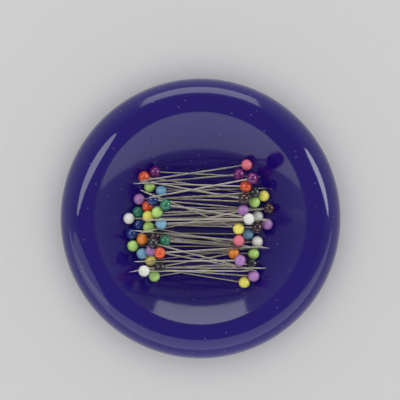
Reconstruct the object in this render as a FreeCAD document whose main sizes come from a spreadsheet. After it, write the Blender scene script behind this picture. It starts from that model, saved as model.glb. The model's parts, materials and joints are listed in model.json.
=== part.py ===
import FreeCAD, Part
import math
import os

import Sketcher
from FreeCAD import Placement, Rotation, Vector

# Magnetic pin dish: a moulded dish with a rolled rim and a hollow bowl, a ring magnet under the bowl,
# a screwed base cover on rubber feet, and a heap of ball-head pins lying across the bowl.
# Millimetres, +Z up. The origin is on the dish's axis, on the surface that its feet stand on.

doc = FreeCAD.newDocument("magnetic_pin_dish")

# ---------------------------------------------------------------- driving dimensions

SIZES = [
    ("dish_radius", 52.4, "outer radius of the rim"),
    ("crest_height", 26.0, "top of the rim above the table"),
    ("bowl_depth", 14.6, "top of the rim to the middle of the bowl"),
    ("rim_outer_radius", 11.0, "roll of the rim outside its crest"),
    ("rim_inner_radius", 4.0, "roll of the rim inside its crest"),
    ("skirt_radius", 18.0, "curve of the skirt under the rim"),
    ("wall", 2.4, "thickness of the moulded shell"),
    ("skirt_height", 1.5, "lower edge of the skirt above the table"),
    ("ledge_width", 0.4, "ledge inside the skirt, above the cover's edge"),
    ("cover_clearance", 0.2, "gap around and above the cover's edge"),
    ("cover_thickness", 2.0, "base cover"),
    ("foot_radius", 4.5, "rubber foot"),
    ("foot_stand", 1.2, "how far a foot stands below the cover"),
    ("foot_recess", 0.5, "how deep a foot sits in the cover"),
    ("foot_edge", 0.4, "rounding of a foot's lower edge"),
    ("foot_gap", 0.1, "gap around a foot in its recess"),
    ("boss_inset", 2.0, "screw boss to the circle under the rim's crest"),
    ("boss_radius", 3.4, "screw boss"),
    ("screw_radius", 1.2, "screw shank"),
    ("screw_head_radius", 2.4, "countersunk screw head, 90 degrees"),
    ("screw_length", 9.0, "countersunk face to point"),
    ("screw_point", 1.6, "length of the screw's point"),
    ("screw_clearance", 0.15, "gap around the screw shank in the cover"),
    ("screw_fit", 0.02, "gap around the screw in its boss and countersink"),
    ("screw_tip_radius", 0.3, "flat end of the screw's point"),
    ("recess_length", 3.1, "cross recess in the screw head"),
    ("recess_width", 0.5, "each arm of the cross recess"),
    ("recess_depth", 0.7, "depth of the cross recess"),
    ("collar_wall", 1.6, "collar of the shell around the magnet"),
    ("collar_gap", 0.7, "collar to the screw bosses"),
    ("magnet_clearance", 0.3, "gap around the magnet in the collar"),
    ("magnet_hole_radius", 13.0, "hole of the ring magnet"),
    ("magnet_chamfer", 0.4, "edges of the ring magnet"),
    ("keeper_thickness", 1.0, "steel keeper plate"),
    ("keeper_gap", 0.4, "keeper plate's top to the collar's edge"),
    ("pad_thickness", 0.5, "adhesive foam pad"),
    ("pad_inset", 1.0, "pad's edges inside the magnet's edges"),
    ("rib_height", 0.7, "inner seat rib, at its inner edge"),
    ("rib_width", 1.5, "seat ribs between bowl and pad"),
    ("rib_inset", 2.0, "seat ribs inside the magnet's edges"),
    ("lip_width", 1.2, "lip of the cover around the keeper plate"),
    ("head_radius", 2.1, "ball head of a pin"),
    ("shank_radius", 0.3, "steel shank of a pin"),
    ("pin_reach", 39.5, "middle of the head to the point"),
    ("point_length", 3.0, "ground point of a pin"),
    ("tip_radius", 0.05, "very end of a pin's point"),
    ("socket_depth", 2.4, "how far the shank goes into the head"),
    ("socket_fit", 0.01, "gap around the shank in the head"),
    ("pin_gap", 0.15, "least gap that the settled pins keep"),
]
SCREW_COUNT = 4
FOOT_COUNT = 4

sheet = doc.addObject("Spreadsheet::Sheet", "sizes")
for row, (name, value, note) in enumerate(SIZES, start=1):
    sheet.set(f"A{row}", note)
    sheet.set(f"B{row}", str(value))
    sheet.setAlias(f"B{row}", name)
doc.recompute()
probe = doc.addObject("Part::Feature", "probe")


def size(name):
    return float(sheet.get(name))


# ---------------------------------------------------------------- radii and heights that follow

CREST = "(sizes.dish_radius - sizes.rim_outer_radius)"
FLOOR = "(sizes.crest_height - sizes.bowl_depth)"
# the bowl is part of a sphere, and rolls over into the rim where the two circles touch
SPAN = f"(({CREST}^2 + sizes.bowl_depth^2) / (2 * sizes.bowl_depth))"
BOWL = f"({SPAN} - sizes.rim_inner_radius)"
BOWL_CENTRE = f"({FLOOR} + {BOWL})"
COVER_TOP = "(sizes.foot_stand + sizes.cover_thickness)"
LEDGE = f"({COVER_TOP} + sizes.cover_clearance)"
SKIRT_CENTRE = "(sizes.dish_radius - sizes.skirt_radius)"
SKIRT_DROP = "(sizes.crest_height - sizes.rim_outer_radius"
REBATE = (f"({SKIRT_CENTRE} + sizes.ledge_width"
          f" + sqrt((sizes.skirt_radius - sizes.wall)^2 - {SKIRT_DROP} - {LEDGE})^2))")
COVER = f"({REBATE} - sizes.cover_clearance)"
BOSS_CIRCLE = f"({CREST} - sizes.boss_inset - sizes.boss_radius)"
COLLAR = f"({BOSS_CIRCLE} - sizes.boss_radius - sizes.collar_gap)"
COLLAR_BORE = f"({COLLAR} - sizes.collar_wall)"
MAGNET = f"({COLLAR_BORE} - sizes.magnet_clearance)"
INNER_RIB = "(sizes.magnet_hole_radius + sizes.rib_inset)"
OUTER_RIB = f"({MAGNET} - sizes.rib_inset - sizes.rib_width)"
KEEPER_TOP = f"({COVER_TOP} + sizes.keeper_thickness)"
PAD_TOP = f"({BOWL_CENTRE} - sqrt(({BOWL} + sizes.wall)^2 - {INNER_RIB}^2) - sizes.rib_height)"
MAGNET_TOP = f"({PAD_TOP} - sizes.pad_thickness)"


def value(expression):
    """The number that an expression on the sheet gives now."""
    return float(probe.evalExpression(expression))


# ---------------------------------------------------------------- sketch helpers

START, END, MIDDLE = 1, 2, 3
ORIGIN_POINT = (-1, 1)
ACROSS_AXIS, UP_AXIS = -1, -2


def new_body(name):
    body = doc.addObject("PartDesign::Body", name)
    body.Label = name
    return body


def of_origin(body, role):
    """One of the body's own planes or axes."""
    return [feature for feature in body.Origin.OriginFeatures if feature.Role == role][0]


def new_sketch(body, name, role, height=None, turn=0):
    """A sketch on an origin plane, raised by an expression and turned about the dish's axis."""
    sketch = body.newObject("Sketcher::SketchObject", name)
    sketch.AttachmentSupport = [(of_origin(body, role), "")]
    sketch.MapMode = "FlatFace"
    sketch.AttachmentOffset = Placement(Vector(), Rotation(Vector(0, 0, 1), turn))
    if height is not None:
        sketch.setExpression("AttachmentOffset.Base.z", height)
    return sketch


def join(sketch, kind, *ends):
    sketch.addConstraint(Sketcher.Constraint(kind, *ends))


def bind(sketch, expression, *constraint):
    """Add a dimension whose value is the expression's."""
    index = sketch.addConstraint(Sketcher.Constraint(*constraint, value(expression)))
    sketch.setExpression(f"Constraints[{index}]", expression)


def add_arc(sketch, middle, radius, start, end):
    circle = Part.Circle(Vector(*middle, 0), Vector(0, 0, 1), radius)
    return sketch.addGeometry(Part.ArcOfCircle(circle, start, end), False)


def add_lines(sketch, points):
    """Straight lines from point to point, joined end to end."""
    lines = [sketch.addGeometry(Part.LineSegment(Vector(*first, 0), Vector(*last, 0)), False)
             for first, last in zip(points, points[1:])]
    for before, after in zip(lines, lines[1:]):
        join(sketch, "Coincident", before, END, after, START)
    return lines


def add_circle(sketch, radius, out=None):
    """A circle on the dish's axis, or at a distance out from it along the sketch's X."""
    middle = Vector(value(out) if out else 0, 0, 0)
    circle = sketch.addGeometry(Part.Circle(middle, Vector(0, 0, 1), value(radius)), False)
    bind(sketch, radius, "Radius", circle)
    if out:
        join(sketch, "PointOnObject", circle, MIDDLE, ACROSS_AXIS)
        bind(sketch, out, "DistanceX", *ORIGIN_POINT, circle, MIDDLE)
    else:
        join(sketch, "Coincident", circle, MIDDLE, *ORIGIN_POINT)


# ---------------------------------------------------------------- feature helpers

def pad(body, sketch, name, length):
    feature = body.newObject("PartDesign::Pad", name)
    feature.Profile = sketch
    feature.setExpression("Length", length)
    return feature


def pad_to_bowl(body, sketch, name):
    """Fill the sketched ring from its plane up to the bowl's underside."""
    feature = body.newObject("PartDesign::Pad", name)
    feature.Profile = sketch
    feature.Type = "UpToFirst"
    return feature


def pocket_up(body, sketch, name, depth):
    """Cut upwards from the sketch's plane, and make sure that something was cut."""
    doc.recompute()
    before = body.Shape.Volume
    feature = body.newObject("PartDesign::Pocket", name)
    feature.Profile = sketch
    feature.Reversed = True
    feature.setExpression("Length", depth)
    doc.recompute()
    if body.Shape.Volume > before - 1e-6:
        raise RuntimeError(f"{name} cuts nothing")
    return feature


def repeat_around(body, feature, name, count):
    """Repeat a feature evenly around the dish's axis."""
    copies = body.newObject("PartDesign::PolarPattern", name)
    copies.Originals = [feature]
    copies.Axis = (of_origin(body, "Z_Axis"), [""])
    copies.Angle = 360
    copies.Occurrences = count
    body.Tip = copies
    return copies


def edges_at(shape, radius, height):
    """Names of the round edges of this radius at this height."""
    return [f"Edge{number}" for number, edge in enumerate(shape.Edges, start=1)
            if hasattr(edge.Curve, "Radius") and abs(edge.Curve.Radius - radius) < 1e-4
            and abs(edge.Curve.Center.z - height) < 1e-4]


def dress(body, kind, name, edges, amount):
    """Chamfer or fillet some edges of the body as it is so far."""
    base = body.Tip
    feature = body.newObject(kind, name)
    feature.Base = (base, edges)
    feature.setExpression("Size" if kind == "PartDesign::Chamfer" else "Radius", amount)
    body.Tip = feature
    return feature


# ---------------------------------------------------------------- dish shell

def draw_shell_section(sketch):
    """The moulded wall: bowl, inner roll, outer roll and skirt, then back along the inside."""
    wall = size("wall")
    inner, outer, skirt = size("rim_inner_radius"), size("rim_outer_radius"), size("skirt_radius")
    crest, foot, ledge = size("crest_height"), size("skirt_height"), value(LEDGE)
    bowl_radius, bowl_centre, rebate = value(BOWL), (0, value(BOWL_CENTRE)), value(REBATE)
    roll_centre = (value(CREST), crest - inner)
    rim_centre = (value(CREST), crest - outer)
    skirt_centre = (value(SKIRT_CENTRE), crest - outer)
    down, up = -math.pi / 2, math.pi / 2
    bowl_edge = math.asin(value(CREST) / value(SPAN))
    foot_angle = math.asin((foot - skirt_centre[1]) / skirt)
    ledge_angle = math.asin((ledge - skirt_centre[1]) / (skirt - wall))
    foot_reach = skirt_centre[0] + skirt * math.cos(foot_angle)

    bowl = add_arc(sketch, bowl_centre, bowl_radius, down, down + bowl_edge)
    roll = add_arc(sketch, roll_centre, inner, up, up + bowl_edge)
    rim = add_arc(sketch, rim_centre, outer, 0, up)
    side = add_arc(sketch, skirt_centre, skirt, foot_angle, 0)
    side_in = add_arc(sketch, skirt_centre, skirt - wall, ledge_angle, 0)
    rim_in = add_arc(sketch, rim_centre, outer - wall, 0, up)
    roll_in = add_arc(sketch, roll_centre, inner - wall, up, up + bowl_edge)
    below = add_arc(sketch, bowl_centre, bowl_radius + wall, down, down + bowl_edge)
    edge, rebate_wall, shelf = add_lines(sketch, [
        (foot_reach, foot), (rebate, foot), (rebate, ledge), (rebate - size("ledge_width"), ledge)])
    (middle,) = add_lines(sketch, [(0, value(FLOOR) - wall), (0, value(FLOOR))])

    join(sketch, "Tangent", bowl, END, roll, END)
    join(sketch, "Tangent", roll, START, rim, END)
    join(sketch, "Tangent", rim, START, side, END)
    join(sketch, "Coincident", side, START, edge, START)
    join(sketch, "Coincident", shelf, END, side_in, START)
    join(sketch, "Coincident", side_in, END, rim_in, START)
    join(sketch, "Coincident", rim_in, END, roll_in, START)
    join(sketch, "Tangent", roll_in, END, below, END)
    join(sketch, "Coincident", below, START, middle, START)
    join(sketch, "Coincident", middle, END, bowl, START)
    for outside, inside in ((bowl, below), (roll, roll_in), (rim, rim_in), (side, side_in)):
        join(sketch, "Coincident", outside, MIDDLE, inside, MIDDLE)
    for end in ((bowl, START), (bowl, MIDDLE), (below, START)):
        join(sketch, "PointOnObject", *end, UP_AXIS)
    join(sketch, "Horizontal", edge)
    join(sketch, "Vertical", rebate_wall)
    join(sketch, "Horizontal", shelf)
    join(sketch, "Vertical", roll, MIDDLE, roll, START)
    join(sketch, "Horizontal", rim, MIDDLE, rim, START)
    join(sketch, "Vertical", rim_in, MIDDLE, rim_in, END)
    join(sketch, "Horizontal", rim_in, MIDDLE, rim_in, START)

    bind(sketch, "sizes.dish_radius", "DistanceX", *ORIGIN_POINT, rim, START)
    bind(sketch, "sizes.crest_height", "DistanceY", *ORIGIN_POINT, rim, END)
    bind(sketch, FLOOR, "DistanceY", *ORIGIN_POINT, bowl, START)
    bind(sketch, "sizes.rim_outer_radius", "Radius", rim)
    bind(sketch, "sizes.rim_inner_radius", "Radius", roll)
    bind(sketch, "sizes.rim_inner_radius - sizes.wall", "Radius", roll_in)
    bind(sketch, "sizes.skirt_radius", "Radius", side)
    bind(sketch, "sizes.skirt_height", "DistanceY", *ORIGIN_POINT, side, START)
    bind(sketch, LEDGE, "DistanceY", *ORIGIN_POINT, rebate_wall, END)
    bind(sketch, "sizes.ledge_width", "DistanceX", shelf, END, shelf, START)


def make_shell():
    body = new_body("dish_shell")
    section = new_sketch(body, "shell_section", "XZ_Plane")
    draw_shell_section(section)
    turned = body.newObject("PartDesign::Revolution", "shell_wall")
    turned.Profile = section
    turned.ReferenceAxis = (section, ["V_Axis"])
    turned.Angle = 360
    doc.recompute()

    collar = new_sketch(body, "collar_ring", "XY_Plane", f"{KEEPER_TOP} + sizes.keeper_gap")
    add_circle(collar, COLLAR)
    add_circle(collar, COLLAR_BORE)
    pad_to_bowl(body, collar, "magnet_collar")

    for label, radius in (("inner", INNER_RIB), ("outer", OUTER_RIB)):
        rib = new_sketch(body, f"{label}_rib_ring", "XY_Plane", PAD_TOP)
        add_circle(rib, radius)
        add_circle(rib, f"{radius} + sizes.rib_width")
        pad_to_bowl(body, rib, f"{label}_seat_rib")

    boss = new_sketch(body, "boss_ring", "XY_Plane", COVER_TOP)
    add_circle(boss, "sizes.boss_radius", BOSS_CIRCLE)
    add_circle(boss, "sizes.screw_radius + sizes.screw_fit", BOSS_CIRCLE)
    repeat_around(body, pad_to_bowl(body, boss, "screw_boss"), "screw_bosses", SCREW_COUNT)
    return body


# ---------------------------------------------------------------- base cover

def make_cover():
    body = new_body("base_cover")
    disc = new_sketch(body, "cover_disc", "XY_Plane", "sizes.foot_stand")
    add_circle(disc, COVER)
    pad(body, disc, "cover_plate", "sizes.cover_thickness")

    ring = new_sketch(body, "keeper_lip_ring", "XY_Plane", COVER_TOP)
    add_circle(ring, COLLAR_BORE)
    add_circle(ring, f"{COLLAR_BORE} + sizes.lip_width")
    pad(body, ring, "keeper_lip", "sizes.keeper_thickness")

    hole_radius = "(sizes.screw_radius + sizes.screw_clearance)"
    hole = new_sketch(body, "screw_hole_circle", "XY_Plane", "sizes.foot_stand")
    add_circle(hole, hole_radius, BOSS_CIRCLE)
    through = pocket_up(body, hole, "screw_hole", "sizes.cover_thickness")
    repeat_around(body, through, "screw_holes", SCREW_COUNT)

    recess = new_sketch(body, "foot_circle", "XY_Plane", "sizes.foot_stand", turn=180 / FOOT_COUNT)
    add_circle(recess, "sizes.foot_radius + sizes.foot_gap", BOSS_CIRCLE)
    seat = pocket_up(body, recess, "foot_seat", "sizes.foot_recess")
    repeat_around(body, seat, "foot_seats", FOOT_COUNT)
    doc.recompute()

    sunk = edges_at(body.Shape, value(hole_radius), size("foot_stand"))
    sink = f"sizes.screw_head_radius + sizes.screw_fit - {hole_radius}"
    dress(body, "PartDesign::Chamfer", "countersinks", sunk, sink)
    doc.recompute()
    rim = edges_at(body.Shape, value(COVER), size("foot_stand"))
    dress(body, "PartDesign::Fillet", "cover_edge", rim, "sizes.foot_edge")
    return body


# ---------------------------------------------------------------- rings under the bowl

def make_ring(name, bottom, top, outer, hole):
    body = new_body(name)
    ring = new_sketch(body, f"{name}_ring", "XY_Plane", bottom)
    add_circle(ring, outer)
    add_circle(ring, hole)
    pad(body, ring, f"{name}_plate", f"{top} - {bottom}")
    doc.recompute()
    return body


def make_magnet():
    body = make_ring("magnet_ring", KEEPER_TOP, MAGNET_TOP, MAGNET, "sizes.magnet_hole_radius")
    edges = [name for radius in (value(MAGNET), size("magnet_hole_radius"))
             for height in (value(KEEPER_TOP), value(MAGNET_TOP))
             for name in edges_at(body.Shape, radius, height)]
    dress(body, "PartDesign::Chamfer", "magnet_edges", edges, "sizes.magnet_chamfer")
    return body


# ---------------------------------------------------------------- feet

def make_foot(name, angle):
    """A rubber foot in its recess, with a rounded lower edge."""
    disc = doc.addObject("Part::Cylinder", f"{name}_disc")
    disc.setExpression("Radius", "sizes.foot_radius")
    disc.setExpression("Height", "sizes.foot_stand + sizes.foot_recess")
    doc.recompute()
    foot = doc.addObject("Part::Fillet", name)
    foot.Base = disc
    lower = [int(edge[4:]) for edge in edges_at(disc.Shape, size("foot_radius"), 0)]
    foot.Edges = [(number, size("foot_edge"), size("foot_edge")) for number in lower]
    foot.Label = name
    foot.setExpression("Placement.Base.x", f"{BOSS_CIRCLE} * cos({angle} deg)")
    foot.setExpression("Placement.Base.y", f"{BOSS_CIRCLE} * sin({angle} deg)")
    return foot


# ---------------------------------------------------------------- cover screws

def make_screws():
    """Self-tapping screws, heads down and flush with the cover, with a cross recess."""
    head = doc.addObject("Part::Cone", "screw_head")
    head.setExpression("Radius1", "sizes.screw_head_radius")
    head.setExpression("Radius2", "sizes.screw_radius")
    head.setExpression("Height", "sizes.screw_head_radius - sizes.screw_radius")
    shank = doc.addObject("Part::Cylinder", "screw_shank")
    shank.setExpression("Radius", "sizes.screw_radius")
    shank.setExpression("Height", "sizes.screw_length - sizes.screw_point")
    point = doc.addObject("Part::Cone", "screw_point")
    point.setExpression("Radius1", "sizes.screw_radius")
    point.setExpression("Radius2", "sizes.screw_tip_radius")
    point.setExpression("Height", "sizes.screw_point")
    point.setExpression("Placement.Base.z", "sizes.screw_length - sizes.screw_point")
    blank = doc.addObject("Part::MultiFuse", "screw_blank")
    blank.Shapes = [head, shank, point]
    blank.Refine = True
    slots = []
    for name, along, across in (("slot_x", "x", "y"), ("slot_y", "y", "x")):
        slot = doc.addObject("Part::Box", name)
        slot.setExpression("Length" if along == "x" else "Width", "sizes.recess_length")
        slot.setExpression("Width" if along == "x" else "Length", "sizes.recess_width")
        slot.setExpression("Height", "sizes.recess_depth")
        slot.setExpression(f"Placement.Base.{along}", "-0.5 * sizes.recess_length")
        slot.setExpression(f"Placement.Base.{across}", "-0.5 * sizes.recess_width")
        slots.append(slot)
    cross = doc.addObject("Part::MultiFuse", "cross_recess")
    cross.Shapes = slots
    screw = doc.addObject("Part::Cut", "screw")
    screw.Base = blank
    screw.Tool = cross
    doc.recompute()

    copies = []
    for number in range(SCREW_COUNT):
        turn = Rotation(Vector(0, 0, 1), 360 * number / SCREW_COUNT)
        copy = screw.Shape.copy()
        copy.Placement = Placement(turn.multVec(Vector(value(BOSS_CIRCLE), 0, size("foot_stand"))), turn)
        copies.append(copy)
    screws = doc.addObject("Part::Feature", "cover_screws")
    screws.Label = "cover_screws"
    screws.Shape = Part.makeCompound(copies)
    return screws


# ---------------------------------------------------------------- pins

# Each pin: colour of its head, where the head lies across the bowl, and the heading of its shank in
# degrees from +X. The first list is the heap, which the last pins, the loose ones, lie on top of.
HEAP = [
    ("purple", -17.0, 17.4, -2.8), ("red", -21.1, 15.5, -4.5), ("lime", -19.0, 11.9, -6.0),
    ("sky", -14.6, 10.2, -4.4), ("lilac", -22.9, 7.2, 3.0), ("navy", -17.8, 7.5, -0.5),
    ("green", -12.9, 5.7, -4.2), ("red", -19.7, 4.5, -3.0), ("lime", -16.1, 2.9, 0.0),
    ("green", -23.3, 2.4, -1.5), ("white", -26.7, 0.0, 0.0), ("yellow", -19.5, 0.2, -0.8),
    ("navy", -23.1, -2.4, 1.5), ("lime", -19.3, -3.9, -12.2), ("sky", -14.6, -2.5, -2.0),
    ("navy", -25.7, -5.8, -3.0), ("orange", -21.7, -7.7, -2.0), ("brown", -16.9, -6.6, -3.5),
    ("black", -17.5, -8.6, -9.0), ("green", -13.2, -8.3, 2.0), ("lime", -25.2, -10.2, -0.5),
    ("lilac", -18.4, -11.4, -4.6), ("sky", -21.7, -12.5, -0.5), ("yellow", -18.7, -15.6, 6.7),
    ("black", -15.0, -17.5, 5.5), ("lime", -17.2, -21.5, 7.9),
    ("purple", 14.3, 15.8, 185.0), ("red", 16.8, 11.3, 181.2), ("black", 20.1, 9.1, 178.0),
    ("yellow", 23.6, 8.4, 181.0), ("brown", 16.1, 7.3, 176.0), ("lime", 20.1, 5.5, 177.5),
    ("brown", 25.6, 3.7, 179.5), ("lilac", 15.8, 3.0, 191.0), ("white", 21.4, 0.8, 181.0),
    ("lilac", 24.9, -1.5, 180.0), ("yellow", 14.1, -3.2, 160.0), ("brown", 21.1, -3.9, 178.5),
    ("sky", 17.8, -5.9, 179.0), ("white", 21.2, -8.1, 180.0), ("orange", 12.3, -12.3, 187.3),
    ("lime", 19.8, -12.5, 181.5), ("black", 19.2, -17.5, 182.2), ("lilac", 19.8, -22.0, 177.5),
    ("yellow", 16.3, -23.8, 169.5),
]
LOOSE = [
    ("pink", 17.2, 19.4, 188.7), ("purple", 19.2, 14.3, 190.6), ("white", 17.9, -0.7, 180.6),
    ("pink", 14.2, -8.2, 176.0), ("red", -15.1, -13.3, 5.0), ("lilac", 14.7, -15.5, 182.2),
    ("white", -20.9, -19.4, -1.5),
]
# A falling pin may turn a little (degrees) and roll a little sideways before it settles.
TURNS = (0, -1.5, 1.5, -3, 3, -4.5, 4.5, -6, 6)
LOOSE_TURNS = TURNS[:5]
ROLLS = (0, -0.6, 0.6)
# What a resting place costs: height of the head, rise of the point, turning, rolling, lying over a head.
RISE_COST, TURN_COST, ROLL_COST, OVER_COST, BLOCKED_COST = 0.5, 0.1, 0.2, 8, 1000
BALANCE = 13.0
STATIONS = 48


class Lie:
    """One way for a pin to lie: its line seen from above, and the heights that hold it up."""

    def __init__(self, pin, turn, roll, loose):
        self.colour, self.x, across, heading = pin
        self.y = across + roll
        self.turn, self.roll, self.loose = turn, roll, loose
        angle = math.radians(heading + turn)
        self.along_x, self.along_y = math.cos(angle), math.sin(angle)
        self.reach = size("pin_reach")
        self.over = 0
        self.blocked = False
        self.props = [(0, self.bowl_height(0, size("head_radius"))),
                      (self.reach, self.bowl_height(self.reach, size("shank_radius")))]

    def spot(self, distance):
        return self.x + self.along_x * distance, self.y + self.along_y * distance

    def bowl_height(self, distance, radius):
        """Height at which a ball of this radius rests in the bowl, this far along the pin."""
        x, y = self.spot(distance)
        reach = BOWL_RADIUS - radius - size("pin_gap")
        return BOWL_MIDDLE - math.sqrt(reach ** 2 - x ** 2 - y ** 2)

    def nearest(self, x, y):
        """How far along the pin the point lies beside it, and how far away, seen from above."""
        along = (x - self.x) * self.along_x + (y - self.y) * self.along_y
        along = min(max(along, 0), self.reach)
        beside_x, beside_y = self.spot(along)
        return along, math.hypot(x - beside_x, y - beside_y)

    def prop(self, distance, height, apart, touching):
        """Hold the pin up here if it comes closer to something than touching it."""
        if apart < touching:
            self.props.append((distance, height + math.sqrt(touching ** 2 - apart ** 2)))
            return True
        return False

    def lie_on(self, other):
        """Add what a pin that is already down holds up."""
        head, shank, gap = size("head_radius"), size("shank_radius"), size("pin_gap")
        before = len(self.props)
        apart = math.hypot(self.x - other.x, self.y - other.y)
        self.prop(0, other.height, apart, 2 * head + gap)
        along, apart = other.nearest(self.x, self.y)
        self.prop(0, other.height + other.slope * along, apart, head + shank + gap)
        along, apart = self.nearest(other.x, other.y)
        if self.prop(along, other.height, apart, head + shank + gap):
            self.over += 1 - apart / (head + shank + gap)
        for number in range(STATIONS + 1):
            distance = self.reach * number / STATIONS
            along, apart = other.nearest(*self.spot(distance))
            self.prop(distance, other.height + other.slope * along, apart, 2 * shank + gap)
        if other.loose and len(self.props) > before:
            self.blocked = True

    def settle(self):
        """Rest on the two props, one each side of the balance point, that hold it highest there."""
        near = [prop for prop in self.props if prop[0] <= BALANCE]
        far = [prop for prop in self.props if prop[0] > BALANCE]
        highest = -math.inf
        for near_distance, near_height in near:
            for far_distance, far_height in far:
                slope = (far_height - near_height) / (far_distance - near_distance)
                height = near_height - slope * near_distance
                if height + slope * BALANCE > highest:
                    highest = height + slope * BALANCE
                    self.height, self.slope = height, slope

    def cost(self):
        return (self.height - self.props[0][1] + RISE_COST * max(0, self.slope * self.reach)
                + TURN_COST * abs(self.turn) + ROLL_COST * abs(self.roll)
                + OVER_COST * self.over + BLOCKED_COST * self.blocked)

    def placement(self):
        ahead = Vector(self.along_x, self.along_y, self.slope).normalize()
        return Placement(Vector(self.x, self.y, self.height), Rotation(Vector(1, 0, 0), ahead))


def settle_pins(pins, turns, down, loose):
    """Let the pins down one at a time, each time the one that comes to rest most easily."""
    waiting = {number: [Lie(pin, turn, roll, loose) for turn in turns for roll in ROLLS]
               for number, pin in enumerate(pins)}
    for lies in waiting.values():
        for lie in lies:
            for other in down:
                lie.lie_on(other)
    settled = {}
    while waiting:
        for lies in waiting.values():
            for lie in lies:
                lie.settle()
        number = min(waiting, key=lambda key: min(lie.cost() for lie in waiting[key]))
        settled[number] = min(waiting.pop(number), key=Lie.cost)
        for lies in waiting.values():
            for lie in lies:
                lie.lie_on(settled[number])
    return [settled[number] for number in sorted(settled)]


def make_pin_masters():
    """One head and one shank, lying along +X with the middle of the head at the origin."""
    ball = doc.addObject("Part::Sphere", "head_ball")
    ball.Placement = Placement(Vector(), Rotation(Vector(0, 0, 1), 180))
    ball.setExpression("Radius", "sizes.head_radius")
    socket = doc.addObject("Part::Cylinder", "head_socket")
    socket.Placement = Placement(Vector(), Rotation(Vector(0, 1, 0), 90))
    socket.setExpression("Radius", "sizes.shank_radius + sizes.socket_fit")
    socket.setExpression("Height", "2 * sizes.head_radius")
    socket.setExpression("Placement.Base.x", "sizes.head_radius - sizes.socket_depth - sizes.socket_fit")
    head = doc.addObject("Part::Cut", "pin_head")
    head.Base = ball
    head.Tool = socket

    wire = doc.addObject("Part::Cylinder", "shank_wire")
    wire.Placement = Placement(Vector(), Rotation(Vector(0, 1, 0), 90))
    wire.setExpression("Radius", "sizes.shank_radius")
    wire.setExpression("Placement.Base.x", "sizes.head_radius - sizes.socket_depth")
    wire.setExpression("Height", "sizes.pin_reach - sizes.point_length"
                                 " - sizes.head_radius + sizes.socket_depth")
    point = doc.addObject("Part::Cone", "shank_point")
    point.Placement = Placement(Vector(), Rotation(Vector(0, 1, 0), 90))
    point.setExpression("Radius1", "sizes.shank_radius")
    point.setExpression("Radius2", "sizes.tip_radius")
    point.setExpression("Height", "sizes.point_length")
    point.setExpression("Placement.Base.x", "sizes.pin_reach - sizes.point_length")
    shank = doc.addObject("Part::Fuse", "pin_shank")
    shank.Base = wire
    shank.Tool = point
    shank.Refine = True
    doc.recompute()
    return head.Shape, shank.Shape


def lay(name, master, lies):
    """A node of copies of the master, one for each resting pin."""
    copies = []
    for lie in lies:
        copy = master.copy()
        copy.Placement = lie.placement()
        copies.append(copy)
    node = doc.addObject("Part::Feature", name)
    node.Label = name
    node.Shape = Part.makeCompound(copies) if len(copies) > 1 else copies[0]
    return node


def make_pins():
    heap = settle_pins(HEAP, TURNS, [], False)
    loose = settle_pins(LOOSE, LOOSE_TURNS, heap, True)
    head, shank = make_pin_masters()
    nodes = []
    for colour in sorted({lie.colour for lie in heap}):
        nodes.append(lay(f"heap_heads_{colour}", head, [lie for lie in heap if lie.colour == colour]))
    nodes.append(lay("heap_shanks", shank, heap))
    for number, lie in enumerate(loose, start=1):
        nodes.append(lay(f"loose_pin_{number}_head", head, [lie]))
        nodes.append(lay(f"loose_pin_{number}_shank", shank, [lie]))
    return nodes


# ---------------------------------------------------------------- build and export

BOWL_RADIUS, BOWL_MIDDLE = value(BOWL), value(BOWL_CENTRE)

nodes = [
    make_shell(),
    make_cover(),
    make_ring("keeper_plate", COVER_TOP, KEEPER_TOP, MAGNET, "sizes.magnet_hole_radius"),
    make_magnet(),
    make_ring("magnet_pad", MAGNET_TOP, PAD_TOP, f"{MAGNET} - sizes.pad_inset",
              "(sizes.magnet_hole_radius + sizes.pad_inset)"),
    make_screws(),
]
for number in range(FOOT_COUNT):
    nodes.append(make_foot(f"rubber_foot_{number + 1}", (number + 0.5) * 360 / FOOT_COUNT))
nodes += make_pins()
doc.removeObject(probe.Name)
doc.recompute()

for obj in doc.Objects:
    if "Invalid" in obj.State or "Error" in obj.State:
        raise RuntimeError(f"{obj.Label} did not compute: {obj.State}")
for node in nodes:
    if node.Shape.isNull() or not node.Shape.isValid() or not node.Shape.Solids:
        raise RuntimeError(f"{node.Label} has no valid solid")

os.makedirs("parts", exist_ok=True)
for node in nodes:
    node.Shape.exportStep(f"parts/{node.Label}.step")
    print(f"{node.Label}: {len(node.Shape.Solids)} solids, {node.Shape.Volume:.1f} mm3")
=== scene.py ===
import json
import math

import bmesh
import bpy
import numpy as np
from mathutils import Matrix, Vector


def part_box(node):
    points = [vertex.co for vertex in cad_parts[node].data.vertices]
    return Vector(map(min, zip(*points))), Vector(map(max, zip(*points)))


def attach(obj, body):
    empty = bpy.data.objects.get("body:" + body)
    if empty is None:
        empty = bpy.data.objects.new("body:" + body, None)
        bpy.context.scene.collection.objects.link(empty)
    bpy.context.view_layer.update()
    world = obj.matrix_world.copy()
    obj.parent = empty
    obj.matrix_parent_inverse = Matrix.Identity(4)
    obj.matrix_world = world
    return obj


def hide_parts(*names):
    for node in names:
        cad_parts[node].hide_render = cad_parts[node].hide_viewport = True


# A magnetic pin dish: a glossy moulded dish with a rolled rim, a heap of ball-head pins held in its
# bowl by a ring magnet, and a screwed base cover on rubber feet. Metres, +Z up, in the frame of the
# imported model.

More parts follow.
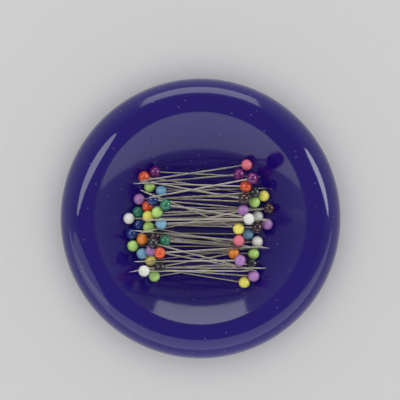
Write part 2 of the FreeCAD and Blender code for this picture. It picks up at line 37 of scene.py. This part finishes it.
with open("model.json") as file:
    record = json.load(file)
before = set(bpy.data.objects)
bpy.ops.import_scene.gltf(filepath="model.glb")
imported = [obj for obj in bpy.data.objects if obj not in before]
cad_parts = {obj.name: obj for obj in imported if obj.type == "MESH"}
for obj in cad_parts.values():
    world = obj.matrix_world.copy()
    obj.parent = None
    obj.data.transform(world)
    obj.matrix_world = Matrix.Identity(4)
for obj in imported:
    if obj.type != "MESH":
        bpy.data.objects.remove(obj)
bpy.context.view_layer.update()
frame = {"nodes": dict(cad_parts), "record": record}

MM = 0.001

# ---------------------------------------------------------------- sizes of the moulded pieces

shell_low, shell_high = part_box("dish_shell")
cover_low, cover_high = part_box("base_cover")
magnet_low, magnet_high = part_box("magnet_ring")
pad_low, pad_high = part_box("magnet_pad")
foot_low, foot_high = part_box("rubber_foot_1")

DISH_RADIUS = shell_high.x
CREST_HEIGHT = shell_high.z
SKIRT_HEIGHT = shell_low.z
BOWL_DEPTH = 14.6 * MM
WALL = 2.4 * MM
RIM_OUTER_ROLL = 11 * MM
RIM_INNER_ROLL = 4 * MM
SKIRT_CURVE = 18 * MM
SKIRT_LIP = 0.35 * MM
REBATE_CHAMFER = 0.2 * MM
COVER_THICKNESS = 2 * MM
COVER_CLEARANCE = 0.2 * MM
MAGNET_CLEARANCE = 0.3 * MM
COLLAR_WALL = 1.6 * MM
RIB_WIDTH = 1.5 * MM
RIB_INSET = 2 * MM
MAGNET_HOLE = 13 * MM
KEEPER_THICKNESS = 1 * MM
KEEPER_GAP = 0.4 * MM
BOSS_COUNT = 4
BOSS_RADIUS = 3.4 * MM
BOSS_BORE = 1.22 * MM

CREST = DISH_RADIUS - RIM_OUTER_ROLL
RIM_LEVEL = CREST_HEIGHT - RIM_OUTER_ROLL
BOWL_SPAN = (CREST ** 2 + BOWL_DEPTH ** 2) / (2 * BOWL_DEPTH)
BOWL_CURVE = BOWL_SPAN - RIM_INNER_ROLL
BOWL_FLOOR = CREST_HEIGHT - BOWL_DEPTH
BOWL_CENTRE = BOWL_FLOOR + BOWL_CURVE
COVER_RADIUS = cover_high.x
COVER_TOP = cover_low.z + COVER_THICKNESS
BOSS_CIRCLE = math.hypot(foot_high.x + foot_low.x, foot_high.y + foot_low.y) / 2
MAGNET_RADIUS = magnet_high.x

# ---------------------------------------------------------------- camera, light and floor

VIEW_WIDTH = 149.7 * MM
VIEW_CENTRE = (-0.2 * MM, 6.9 * MM)
VIEW_HEIGHT = 1.2
FARTHEST_SEEN = 20


def make_camera():
    """Straight above the dish, with +Y at the top of the picture."""
    data = bpy.data.cameras.new("camera")
    data.lens = data.sensor_width * (VIEW_HEIGHT - RIM_LEVEL) / VIEW_WIDTH
    data.clip_end = FARTHEST_SEEN
    camera = bpy.data.objects.new("camera", data)
    camera.location = (*VIEW_CENTRE, VIEW_HEIGHT)
    bpy.context.scene.collection.objects.link(camera)
    bpy.context.scene.camera = camera


bpy.context.scene.view_settings.view_transform = "Standard"
make_camera()

# ---------------------------------------------------------------- finishes as sums of shader sockets


class Term:
    """A shader socket in a sum: an expression on terms adds its Math nodes."""

    def __init__(self, finish, socket):
        self.finish, self.socket = finish, socket

    def combine(self, operation, first, second):
        return self.finish.node("ShaderNodeMath", {0: first, 1: second}, operation=operation)

    def __add__(self, other):
        return self.combine("ADD", self, other)

    def __mul__(self, other):
        return self.combine("MULTIPLY", self, other)

    def __lt__(self, other):
        return self.combine("LESS_THAN", self, other)

    def __gt__(self, other):
        return self.combine("GREATER_THAN", self, other)

    __radd__, __rmul__ = __add__, __mul__


class Finish:
    """A material in the making: node() adds any node, and the other methods feed its main shader."""

    def __init__(self, name, tree=None, **steady):
        if tree is None:
            self.material = bpy.data.materials.new(name)
            self.material.use_nodes = True
            tree = self.material.node_tree
            self.shader = tree.nodes["Principled BSDF"]
            for socket, level in steady.items():
                self.shader.inputs[socket.replace("_", " ")].default_value = level
        self.tree = tree

    def node(self, kind, sockets, output=0, **settings):
        """Add a node: its settings first, then what its sockets hold or are linked to."""
        node = self.tree.nodes.new(kind)
        for name, setting in settings.items():
            setattr(node, name, setting)
        for key, level in sockets.items():
            if isinstance(level, Term):
                self.tree.links.new(level.socket, node.inputs[key])
            else:
                node.inputs[key].default_value = level
        return Term(self, node.outputs[output])

    def feed(self, socket, term):
        self.tree.links.new(term.socket, self.shader.inputs[socket])

    def place(self, kind="Object"):
        """Where the surface point lies: in the model's frame, or on the piece's own map with UV."""
        return self.node("ShaderNodeTexCoord", {}, output=kind)

    def stretch(self, vector, factors):
        return self.node("ShaderNodeVectorMath", {0: vector, 1: factors}, operation="MULTIPLY")

    def noise(self, size, detail=2.0, place=None, distortion=0.0):
        """Soft noise from 0 to 1 whose blotches are about this size."""
        sockets = {"Vector": place or self.place(), "Scale": 1 / size, "Detail": detail,
                   "Distortion": distortion}
        return self.node("ShaderNodeTexNoise", sockets, output="Fac")

    def spread(self, term, low, high, to_low=0.0, to_high=1.0):
        """Map low..high to to_low..to_high and hold the ends."""
        sockets = {0: term, 1: low, 2: high, 3: to_low, 4: to_high}
        return self.node("ShaderNodeMapRange", sockets, clamp=True)

    def mix(self, share, first, second):
        """A colour between two colours."""
        colours = [level if isinstance(level, Term) else (*level, 1) for level in (first, second)]
        return self.node("ShaderNodeMix", {0: share, 6: colours[0], 7: colours[1]}, output=2,
                         data_type="RGBA")

    def bump(self, height, depth):
        """Raise the surface by the height's share of this depth."""
        sockets = {"Height": height, "Distance": depth, "Strength": 1.0}
        self.feed("Normal", self.node("ShaderNodeBump", sockets))


def tone(*levels):
    """A colour as painted, 0 to 255, in the shader's linear light."""
    return tuple(((level / 255 + 0.055) / 1.055) ** 2.4 if level > 10 else level / 255 / 12.92
                 for level in levels)


# ---------------------------------------------------------------- world and floor

HORIZON_LEVEL = 0.62
OVERHEAD_LEVEL = 0.24
FLOOR_REACH = 4


def make_world():
    """Dim overhead and brighter towards the horizon."""
    world = bpy.data.worlds.new("studio")
    world.use_nodes = True
    bpy.context.scene.world = world
    sky = Finish("studio", world.node_tree)
    up = sky.node("ShaderNodeSeparateXYZ", {0: sky.place("Generated")}, output="Z")
    level = sky.spread(up, 0.0, 0.8, HORIZON_LEVEL, OVERHEAD_LEVEL)
    background = world.node_tree.nodes["Background"]
    background.inputs["Color"].default_value = (1, 1, 1, 1)
    sky.tree.links.new(level.socket, background.inputs["Strength"])


def make_floor():
    """Plain pale paper under the dish."""
    finish = Finish("floor_paper", Roughness=0.85)
    grain = finish.noise(2 * MM, detail=4)
    finish.feed("Base Color", finish.mix(grain, (0.88, 0.88, 0.87), (0.92, 0.92, 0.91)))
    mesh = bpy.data.meshes.new("floor")
    corners = [(x * FLOOR_REACH, y * FLOOR_REACH, 0) for x, y in ((-1, -1), (1, -1), (1, 1), (-1, 1))]
    mesh.from_pydata(corners, [], [(0, 1, 2, 3)])
    mesh.materials.append(finish.material)
    floor = bpy.data.objects.new("floor", mesh)
    bpy.context.scene.collection.objects.link(floor)
    return floor


make_world()
floor = make_floor()

# ---------------------------------------------------------------- mesh tools

FULL_TURN = 2 * math.pi
SHARP_EDGE = math.radians(35)
ON_AXIS = 1e-7


def arc(across, height, radius, start, end, steps):
    """Points round a circle in a section, from one angle to another, in degrees from outward."""
    angles = np.radians(np.linspace(start, end, steps + 1))
    return [(across + radius * math.cos(a), height + radius * math.sin(a)) for a in angles]


def lathe_mesh(outline, segments):
    """Vertices and faces of a section, (radius, height) points, turned about Z."""
    vertices, faces, rings = [], [], []
    turns = [FULL_TURN * number / segments for number in range(segments)]
    for radius, height in outline:
        if radius < ON_AXIS:
            rings.append([len(vertices)] * segments)
            vertices.append((0, 0, height))
        else:
            rings.append(list(range(len(vertices), len(vertices) + segments)))
            vertices += [(radius * math.cos(t), radius * math.sin(t), height) for t in turns]
    pairs = list(zip(rings, rings[1:]))
    if outline[0][0] > ON_AXIS:
        pairs.append((rings[-1], rings[0]))
    for lower, upper in pairs:
        for number in range(segments):
            after = (number + 1) % segments
            corners = list(dict.fromkeys([lower[number], lower[after], upper[after], upper[number]]))
            if len(corners) > 2:
                faces.append(corners)
    return vertices, faces


def smooth_faces(mesh):
    """Shade the mesh smooth, except over sharp edges."""
    mesh.shade_smooth()
    mesh.set_sharp_from_angle(angle=SHARP_EDGE)


def make_piece(name, vertices, faces, material=None):
    """A piece with its normals outward."""
    mesh = bpy.data.meshes.new(name)
    mesh.from_pydata([tuple(v) for v in vertices], [], faces)
    tidy = bmesh.new()
    tidy.from_mesh(mesh)
    bmesh.ops.recalc_face_normals(tidy, faces=tidy.faces)
    tidy.to_mesh(mesh)
    tidy.free()
    smooth_faces(mesh)
    if material:
        mesh.materials.append(material)
    piece = bpy.data.objects.new(name, mesh)
    bpy.context.scene.collection.objects.link(piece)
    return piece


def weld(piece, other):
    """Join other to the piece as one closed solid."""
    modifier = piece.modifiers.new("weld", "BOOLEAN")
    modifier.object = other
    modifier.operation = "UNION"
    modifier.solver = "MANIFOLD"
    depsgraph = bpy.context.evaluated_depsgraph_get()
    mesh = bpy.data.meshes.new_from_object(piece.evaluated_get(depsgraph))
    piece.modifiers.clear()
    piece.data = mesh
    bpy.data.objects.remove(other)
    smooth_faces(mesh)


# ---------------------------------------------------------------- plastic of the dish


SPECK_SPACING = 2.4 * MM
SPECK_SHARE = 0.08
EMPTY_CELLS = 0.55


def dish_plastic():
    """Polished deep purple moulding, with a faint orange peel, finger haze and specks of dust."""
    finish = Finish("polished_purple_plastic", IOR=1.5)
    cloud = finish.noise(22 * MM, detail=2)
    base = finish.mix(cloud, tone(28, 10, 103), tone(33, 13, 110))
    cells = {"Vector": finish.place(), "Scale": 1 / SPECK_SPACING}
    from_middle = finish.node("ShaderNodeTexVoronoi", cells, output="Distance")
    cell_colour = finish.node("ShaderNodeTexVoronoi", cells, output="Color")
    chance = finish.node("ShaderNodeSeparateColor", {0: cell_colour}, output="Red")
    speck = (from_middle < SPECK_SHARE) * (chance > EMPTY_CELLS)
    haze = finish.spread(finish.noise(14 * MM, detail=4, distortion=1.2), 0.42, 0.72)
    finish.feed("Base Color", finish.mix(speck * 0.5, base, tone(170, 165, 180)))
    finish.feed("Roughness", 0.085 + haze * 0.05 + speck * 0.4)
    peel = finish.noise(3.2 * MM, detail=1)
    finish.bump(peel, 0.012 * MM)
    return finish.material


# ---------------------------------------------------------------- moulded dish

LATHE_SEGMENTS = 256
BOSS_SEGMENTS = 40

def bowl_height(radius, depth=0.0):
    """Height of the bowl's surface, or of a surface this far inside its wall."""
    return BOWL_CENTRE - math.sqrt((BOWL_CURVE + depth) ** 2 - radius ** 2)


def inside_bowl(start, end, count):
    """Points on the underside of the bowl's wall, from one radius to another."""
    return [(radius, bowl_height(radius, WALL)) for radius in np.linspace(start, end, count)]


def outer_outline():
    """The seen surface, from the middle of the bowl over the rim to the skirt's lower edge."""
    bowl_edge = math.degrees(math.asin(CREST / BOWL_SPAN))
    skirt_centre = DISH_RADIUS - SKIRT_CURVE
    lip_level = SKIRT_HEIGHT + SKIRT_LIP
    lip_angle = math.degrees(math.asin((lip_level - RIM_LEVEL) / SKIRT_CURVE))
    lip_edge = skirt_centre + (SKIRT_CURVE - SKIRT_LIP) * math.cos(math.radians(lip_angle))
    outline = arc(0, BOWL_CENTRE, BOWL_CURVE, -90, -90 + bowl_edge, 60)
    outline += arc(CREST, CREST_HEIGHT - RIM_INNER_ROLL, RIM_INNER_ROLL, 90 + bowl_edge, 90, 16)[1:]
    outline += arc(CREST, RIM_LEVEL, RIM_OUTER_ROLL, 90, 0, 44)[1:]
    outline += arc(skirt_centre, RIM_LEVEL, SKIRT_CURVE, 0, lip_angle, 20)[1:]
    outline += arc(lip_edge, lip_level, SKIRT_LIP, lip_angle, -90, 6)[1:]
    return outline


def inner_outline():
    """The hidden surface: the cover's rebate, the rim's inside, the magnet's collar and its seat ribs."""
    bowl_edge = math.degrees(math.asin(CREST / BOWL_SPAN))
    ledge = COVER_TOP + COVER_CLEARANCE
    inside = SKIRT_CURVE - WALL
    ledge_angle = math.degrees(math.asin((ledge - RIM_LEVEL) / inside))
    rebate = COVER_RADIUS + COVER_CLEARANCE
    outline = [(rebate + REBATE_CHAMFER, SKIRT_HEIGHT), (rebate, SKIRT_HEIGHT + REBATE_CHAMFER)]
    outline.append((rebate, ledge))
    outline += arc(DISH_RADIUS - SKIRT_CURVE, RIM_LEVEL, inside, ledge_angle, 0, 12)
    outline += arc(CREST, RIM_LEVEL, RIM_OUTER_ROLL - WALL, 0, 90, 20)[1:]
    roll_level = CREST_HEIGHT - RIM_INNER_ROLL
    outline += arc(CREST, roll_level, RIM_INNER_ROLL - WALL, 90, 90 + bowl_edge, 8)[1:]
    bore = MAGNET_RADIUS + MAGNET_CLEARANCE
    collar = bore + COLLAR_WALL
    collar_foot = COVER_TOP + KEEPER_THICKNESS + KEEPER_GAP
    outer_rib = MAGNET_RADIUS - RIB_INSET
    inner_rib = MAGNET_HOLE + RIB_INSET
    outline += inside_bowl(CREST - RIM_INNER_ROLL, collar, 8)
    outline += [(collar, collar_foot), (bore, collar_foot), (bore, bowl_height(bore, WALL))]
    outline += inside_bowl(bore - 0.5 * MM, outer_rib, 3)
    outline += [(outer_rib, pad_high.z), (outer_rib - RIB_WIDTH, pad_high.z)]
    outline += inside_bowl(outer_rib - RIB_WIDTH, inner_rib + RIB_WIDTH, 12)
    outline += [(inner_rib + RIB_WIDTH, pad_high.z), (inner_rib, pad_high.z)]
    outline += inside_bowl(inner_rib, 0, 12)
    return outline


def make_bosses():
    """Screw bosses whose tops end inside the bowl's wall."""
    vertices, faces = [], []
    corners = ((BOSS_RADIUS, False), (BOSS_RADIUS, True), (BOSS_BORE, True), (BOSS_BORE, False))
    for number in range(BOSS_COUNT):
        turn = Matrix.Rotation(FULL_TURN * number / BOSS_COUNT, 4, "Z")
        rings = []
        for radius, at_top in corners:
            rings.append(len(vertices))
            for step in range(BOSS_SEGMENTS):
                angle = FULL_TURN * step / BOSS_SEGMENTS
                x, y = BOSS_CIRCLE + radius * math.cos(angle), radius * math.sin(angle)
                away = min(math.hypot(x, y), CREST * 0.93)
                z = bowl_height(away, WALL / 2) if at_top else COVER_TOP
                vertices.append(turn @ Vector((x, y, z)))
        for lower, upper in zip(rings, rings[1:] + rings[:1]):
            for step in range(BOSS_SEGMENTS):
                after = (step + 1) % BOSS_SEGMENTS
                faces.append((lower + step, lower + after, upper + after, upper + step))
    return make_piece("bosses", vertices, faces)


def make_dish():
    outline = outer_outline() + inner_outline()
    piece = make_piece("moulded_dish", *lathe_mesh(outline, LATHE_SEGMENTS), dish_plastic())
    weld(piece, make_bosses())
    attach(piece, "dish")
    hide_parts("dish_shell")
    return piece


moulded_dish = make_dish()

# ---------------------------------------------------------------- base cover, feet and inner pieces


def cover_plastic():
    """Dark moulding with a fine spark-eroded texture."""
    finish = Finish("textured_cover_plastic", IOR=1.5)
    grain = finish.noise(0.28 * MM, detail=3)
    cloud = finish.noise(12 * MM, detail=3)
    finish.feed("Base Color", finish.mix(cloud, tone(34, 28, 66), tone(42, 35, 78)))
    finish.feed("Roughness", 0.5 + grain * 0.2)
    finish.bump(grain, 0.05 * MM)
    return finish.material


def foot_rubber():
    """Matt black rubber with dust in its grain."""
    finish = Finish("foot_rubber", IOR=1.5)
    grain = finish.noise(0.35 * MM, detail=4)
    dust = finish.spread(finish.noise(2.5 * MM, detail=3), 0.5, 0.8)
    finish.feed("Base Color", finish.mix(dust * 0.5, tone(28, 28, 29), tone(74, 72, 70)))
    finish.feed("Roughness", 0.7 + dust * 0.2)
    finish.bump(grain, 0.04 * MM)
    return finish.material


def plated_steel(name, colour):
    """Dull zinc with faint clouds."""
    finish = Finish(name, Metallic=1.0)
    cloud = finish.noise(1.5 * MM, detail=4)
    finish.feed("Base Color", finish.mix(cloud, tone(*colour), tone(*(c * 0.88 for c in colour))))
    finish.feed("Roughness", 0.28 + cloud * 0.2)
    finish.bump(finish.noise(0.2 * MM, detail=2), 0.01 * MM)
    return finish.material


def plain_finish(name, colour, other, blotch, roughness):
    """Two close colours in blotches of this size, with fine grain."""
    finish = Finish(name)
    cloud = finish.noise(blotch, detail=4)
    finish.feed("Base Color", finish.mix(cloud, tone(*colour), tone(*other)))
    finish.feed("Roughness", roughness + cloud * 0.15)
    finish.bump(finish.noise(blotch / 4, detail=3), 0.03 * MM)
    return finish.material


def refinish(node, material):
    """Give a CAD node that stays visible this material."""
    for slot in frame["nodes"][node].material_slots:
        slot.material = material


refinish("base_cover", cover_plastic())
rubber = foot_rubber()
for number in range(1, 5):
    refinish(f"rubber_foot_{number}", rubber)
zinc = plated_steel("zinc_plated_steel", (196, 196, 198))
refinish("cover_screws", zinc)
refinish("keeper_plate", zinc)
refinish("magnet_ring", plain_finish("ground_ferrite", (52, 52, 55), (70, 70, 73), 0.8 * MM, 0.5))
refinish("magnet_pad", plain_finish("closed_cell_foam", (214, 212, 204), (232, 230, 224), 0.5 * MM, 0.8))

# ---------------------------------------------------------------- pins: where they lie

WELD_DISTANCE = 0.0005 * MM
END_BAND = 0.01 * MM


def separate_solids(node):
    """The points of each separate solid of a CAD node, in order of their lowest X."""
    work = bmesh.new()
    work.from_mesh(frame["nodes"][node].data)
    bmesh.ops.remove_doubles(work, verts=work.verts, dist=WELD_DISTANCE)
    seen = set()
    solids = []
    for first in work.verts:
        if first in seen:
            continue
        seen.add(first)
        front, solid = [first], []
        while front:
            vertex = front.pop()
            solid.append(tuple(vertex.co))
            for edge in vertex.link_edges:
                other = edge.other_vert(vertex)
                if other not in seen:
                    seen.add(other)
                    front.append(other)
        solids.append(np.array(solid))
    work.free()
    return sorted(solids, key=lambda points: tuple(points.min(axis=0)))


def read_shank(points):
    """Butt end, direction to the point and length of a shank, from its solid's points."""
    middle = points.mean(axis=0)
    along = np.linalg.svd(points - middle, full_matrices=False)[2][0]
    reach = (points - middle) @ along
    beside = np.linalg.norm(points - middle - np.outer(reach, along), axis=1)
    width_ahead = beside[reach > reach.max() - END_BAND].max()
    width_behind = beside[reach < reach.min() + END_BAND].max()
    if width_ahead > width_behind:
        along, reach = -along, -reach
    butt = middle + along * reach.min()
    return Vector(butt), Vector(along), reach.max() - reach.min()


def middle_of(points):
    return Vector((points.min(axis=0) + points.max(axis=0)) / 2)


# ---------------------------------------------------------------- pins: finishes

HEAD_TONES = {
    "white": (204, 204, 197), "lime": (158, 195, 104), "green": (24, 100, 76), "sky": (106, 152, 180),
    "navy": (10, 38, 106), "lilac": (148, 102, 162), "purple": (94, 14, 92), "orange": (206, 121, 28),
    "red": (192, 68, 28), "pink": (204, 100, 120), "yellow": (212, 202, 88), "brown": (48, 22, 30),
    "black": (26, 30, 38),
}
CLEAR_TONES = ("green", "navy", "purple", "red", "brown", "black")


def head_plastic(colour):
    """Pearly and nearly opaque in the pale colours, deep and glossy in the dark ones."""
    shade = HEAD_TONES[colour]
    clear = colour in CLEAR_TONES
    finish = Finish(f"{colour}_head_plastic", IOR=1.5, Coat_Roughness=0.08 if clear else 0.12,
                    Subsurface_Weight=0.25, Subsurface_Scale=0.8 * MM, Coat_Weight=0.6 if clear else 0.5,
                    Sheen_Weight=0.35 if clear else 0.0, Sheen_Roughness=0.4)
    finish.shader.inputs["Subsurface Radius"].default_value = (1.0, 0.8, 0.7)
    finish.shader.inputs["Sheen Tint"].default_value = (*tone(*(min(255, c * 1.5 + 40) for c in shade)), 1)
    swirl = finish.noise(0.6 * MM, detail=3, distortion=0.8)
    lot = finish.noise(6 * MM, detail=0)
    darker, lighter = tuple(c * 0.84 for c in shade), tuple(min(255, c * 1.12 + 3) for c in shade)
    finish.feed("Base Color", finish.mix(swirl * 0.5 + lot * 0.5, tone(*darker), tone(*lighter)))
    finish.feed("Roughness", (0.10 if clear else 0.30) + swirl * 0.12)
    finish.bump(finish.noise(0.5 * MM, detail=2), (0.004 if clear else 0.012) * MM)
    return finish.material


def pin_steel():
    """Polished plated wire, with faint drawing lines along it and a ground point."""
    finish = Finish("nickel_plated_wire", Metallic=1.0)
    on_wire = finish.place("UV")
    lines = finish.noise(0.12, detail=2, place=finish.stretch(on_wire, (0.5, 14, 1)))
    patches = finish.noise(0.06, detail=3, place=on_wire)
    finish.feed("Base Color", finish.mix(patches, tone(178, 172, 160), tone(204, 198, 188)))
    finish.feed("Roughness", 0.17 + lines * 0.14)
    finish.bump(lines, 0.006 * MM)
    return finish.material


# ---------------------------------------------------------------- pins: shapes

HEAD_RADIUS = 2.1 * MM
SHANK_RADIUS = 0.3 * MM
POINT_LENGTH = 3 * MM
TIP_RADIUS = 0.05 * MM
SOCKET_DEPTH = 2.4 * MM
SOCKET_FIT = 0.01 * MM
MOUTH_RADIUS = 0.62 * MM
DIMPLE_RADIUS = 0.4 * MM
DIMPLE_DEPTH = 0.05 * MM
HEAD_SPREAD = 0.012
GOLDEN_STEP = 0.618
HEAD_SEGMENTS = 40
SHANK_SEGMENTS = 16


def head_outline(size):
    """Ball with a small gate dimple at its back and a dished mouth where the shank goes in."""
    bore = SHANK_RADIUS + SOCKET_FIT
    mouth_angle = math.degrees(math.asin(MOUTH_RADIUS / size))
    dimple_angle = math.degrees(math.asin(DIMPLE_RADIUS / size))
    outline = [(0, -size * math.cos(math.radians(dimple_angle)) + DIMPLE_DEPTH)]
    outline += arc(0, 0, size, -90 + dimple_angle, 90 - mouth_angle, 26)
    face = size * math.cos(math.radians(mouth_angle))
    outline += [(bore + 0.12 * MM, face - 0.10 * MM), (bore, face - 0.2 * MM),
                (bore, size - SOCKET_DEPTH), (0, size - SOCKET_DEPTH)]
    return outline


def shank_outline(length):
    """Wire from its butt end to a point that is ground in a long, slightly round taper."""
    taper = length - POINT_LENGTH
    outline = [(0, 0), (SHANK_RADIUS * 0.8, 0), (SHANK_RADIUS, 0.06 * MM)]
    outline += [(SHANK_RADIUS, taper * share) for share in (0.07, 0.3, 0.55, 0.8, 1.0)]
    for share in (0.2, 0.4, 0.6, 0.8, 0.95):
        fall = share ** 1.25
        outline.append((SHANK_RADIUS + (TIP_RADIUS - SHANK_RADIUS) * fall, taper + POINT_LENGTH * share))
    outline.append((0, length))
    return outline


def lay_along(start, along):
    """Where a piece that was turned about Z goes, to lie along this direction from this start."""
    turn = Vector(along).to_track_quat("Z", "Y").to_matrix().to_4x4()
    return Matrix.Translation(start) @ turn


def join_copies(copies):
    """One set of vertices and faces from several."""
    vertices, faces = [], []
    for more_vertices, more_faces in copies:
        faces += [[corner + len(vertices) for corner in face] for face in more_faces]
        vertices += more_vertices
    return vertices, faces


def head_copy(middle, along, number):
    """A head whose number makes it up to 1.2 % smaller than the largest."""
    size = HEAD_RADIUS * (1 - HEAD_SPREAD * ((number * GOLDEN_STEP) % 1))
    vertices, faces = lathe_mesh(head_outline(size), HEAD_SEGMENTS)
    place = lay_along(middle, along)
    return [place @ Vector(v) for v in vertices], faces


def shank_copy(butt, along, length):
    vertices, faces = lathe_mesh(shank_outline(length), SHANK_SEGMENTS)
    place = lay_along(butt, along)
    return [place @ Vector(v) for v in vertices], faces


def add_wire_map(piece, shanks):
    """A map with the share of each shank's length, after its number, and the turn about it."""
    layer = piece.data.uv_layers.new(name="wire")
    per_shank = len(piece.data.vertices) // len(shanks)
    for loop in piece.data.loops:
        number = loop.vertex_index // per_shank
        butt, along, length = shanks[number]
        offset = piece.data.vertices[loop.vertex_index].co - butt
        reach = offset.dot(along)
        side = Vector((0, 0, 1)).cross(along).normalized()
        up = along.cross(side)
        turn = math.atan2(offset.dot(up), offset.dot(side)) / FULL_TURN + 0.5
        layer.data[loop.index].uv = (reach / length + number, turn)


def finish_pins(piece, body, node):
    """Put the piece in place of its CAD node."""
    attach(piece, body)
    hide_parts(node)
    pins.append(piece)


def make_pins():
    colours = {subpart["node"]: subpart["material_slot"] for subpart in frame["record"]["subparts"]}
    wire = pin_steel()
    finishes = {}
    shanks = {"heap_shanks": [read_shank(points) for points in separate_solids("heap_shanks")]}
    for node in colours:
        if node.startswith("loose_pin_") and node.endswith("_shank"):
            shanks[node] = [read_shank(points) for points in separate_solids(node)]
    number = 0
    for node, slot in colours.items():
        body = "pin_heap" if node.startswith("heap_") else node.rsplit("_", 1)[0]
        if node in shanks:
            copies = [shank_copy(*shank) for shank in shanks[node]]
            name = "pin_shanks" if node == "heap_shanks" else f"{body}_wire"
            piece = make_piece(name, *join_copies(copies), wire)
            add_wire_map(piece, shanks[node])
            finish_pins(piece, body, node)
        elif slot.startswith("head_"):
            colour = slot[len("head_"):]
            if colour not in finishes:
                finishes[colour] = head_plastic(colour)
            own = shanks["heap_shanks"] if body == "pin_heap" else shanks[f"{body}_shank"]
            copies = []
            for points in separate_solids(node):
                middle = middle_of(points)
                along = min(own, key=lambda shank: (shank[0] - middle).length)[1]
                number += 1
                copies.append(head_copy(middle, along, number))
            name = f"pin_heads_{colour}" if body == "pin_heap" else f"{body}_ball"
            piece = make_piece(name, *join_copies(copies), finishes[colour])
            finish_pins(piece, body, node)


pins = []
make_pins()

# ---------------------------------------------------------------- studio lamps


def make_lamp(name, shape, size, radiance, place, turn):
    """A flat lamp, as bright all over as its radiance says, that shines along its own -Z."""
    data = bpy.data.lights.new(name, "AREA")
    data.shape = shape
    data.size, data.size_y = size
    area = size[0] * size[1] * (math.pi / 4 if shape == "ELLIPSE" else 1)
    data.energy = radiance * math.pi * area
    lamp = bpy.data.objects.new(name, data)
    lamp.matrix_world = Matrix.Translation(place) @ turn
    lamp.visible_camera = False
    bpy.context.scene.collection.objects.link(lamp)
    return lamp


def make_softbox(name, place, size, radiance):
    """A large oblong lamp that faces the dish."""
    turn = (-Vector(place)).to_track_quat("-Z", "Y").to_matrix().to_4x4()
    return make_lamp(name, "RECTANGLE", size, radiance, place, turn)


def make_strip(name, azimuth, radius, height, slope, turn, size, radiance):
    """A small oval lamp, seen only as a gleam, hung just outside the rim.

    It faces down and outward, so the rim reflects it and the far side of the bowl can't.
    """
    angle, slope, turn = math.radians(azimuth), math.radians(slope), math.radians(turn)
    outward = Vector((math.cos(angle), math.sin(angle), 0))
    tangent = Vector((-math.sin(angle), math.cos(angle), 0))
    above = Vector((0, 0, 1))
    rise = outward * math.cos(slope) + above * math.sin(slope)
    back = above * math.cos(slope) - outward * math.sin(slope)
    length = tangent * math.cos(turn) + rise * math.sin(turn)
    axes = Matrix((length, back.cross(length), back)).transposed().to_4x4()
    lamp = make_lamp(name, "ELLIPSE", size, radiance, outward * radius + above * height, axes)
    lamp.visible_diffuse = False
    return lamp


def link_lamps(lamps, pieces, state="INCLUDE"):
    """Let these lamps reach only these pieces, or with EXCLUDE everything but them."""
    reached = bpy.data.collections.new(f"{lamps[0].name}_{state.lower()}")
    for number, piece in enumerate(pieces):
        reached.objects.link(piece)
        reached.collection_objects[number].light_linking.link_state = state
    for lamp in lamps:
        lamp.light_linking.receiver_collection = reached


def make_sky_glow(strength, spread):
    """Even light from straight above that reaches every spot of the floor alike and leaves no gleam."""
    data = bpy.data.lights.new("sky_glow", "SUN")
    data.energy = strength
    data.angle = math.radians(spread)
    lamp = bpy.data.objects.new("sky_glow", data)
    lamp.visible_glossy = False
    bpy.context.scene.collection.objects.link(lamp)


SKY_STRENGTH, SKY_SPREAD = 1.2, 70

# Softboxes: name, place, width and height in metres, and radiance.
PANELS = (
    ("front_panel", (0, -0.35, 0.165), (8.0, 0.288), 0.93),
    ("back_panel", (0, 1.2, 0.35), (1.2, 0.60), 2.5),
)
PIN_SOFTBOXES = (
    ("left_softbox", (-0.80, 0.32, 0.90), (0.62, 0.60), 3.6),
    ("right_softbox", (1.00, 0.33, 0.50), (0.58, 0.42), 6.5),
)
# Strips: name, azimuth, radius and height of the place, slope, turn, length and width, and radiance.
RIM_STRIPS = (
    ("left_strip", 160, 57.5 * MM, 42 * MM, 25, 27, (50 * MM, 19 * MM), 4.1),
    ("right_strip", 15, 74.5 * MM, 37.3 * MM, 10, -41, (51 * MM, 28 * MM), 6.6),
    ("front_left_strip", 205, 80 * MM, 38 * MM, 0, 0, (52 * MM, 52 * MM), 0.8),
)


def make_lamps():
    """Panels for all but the floor, softboxes for the pins, strips for the rim and a glow for all."""
    make_sky_glow(SKY_STRENGTH, SKY_SPREAD)
    link_lamps([make_softbox(*panel) for panel in PANELS], [floor], "EXCLUDE")
    link_lamps([make_softbox(*softbox) for softbox in PIN_SOFTBOXES], pins)
    link_lamps([make_strip(*strip) for strip in RIM_STRIPS], [moulded_dish])


make_lamps()
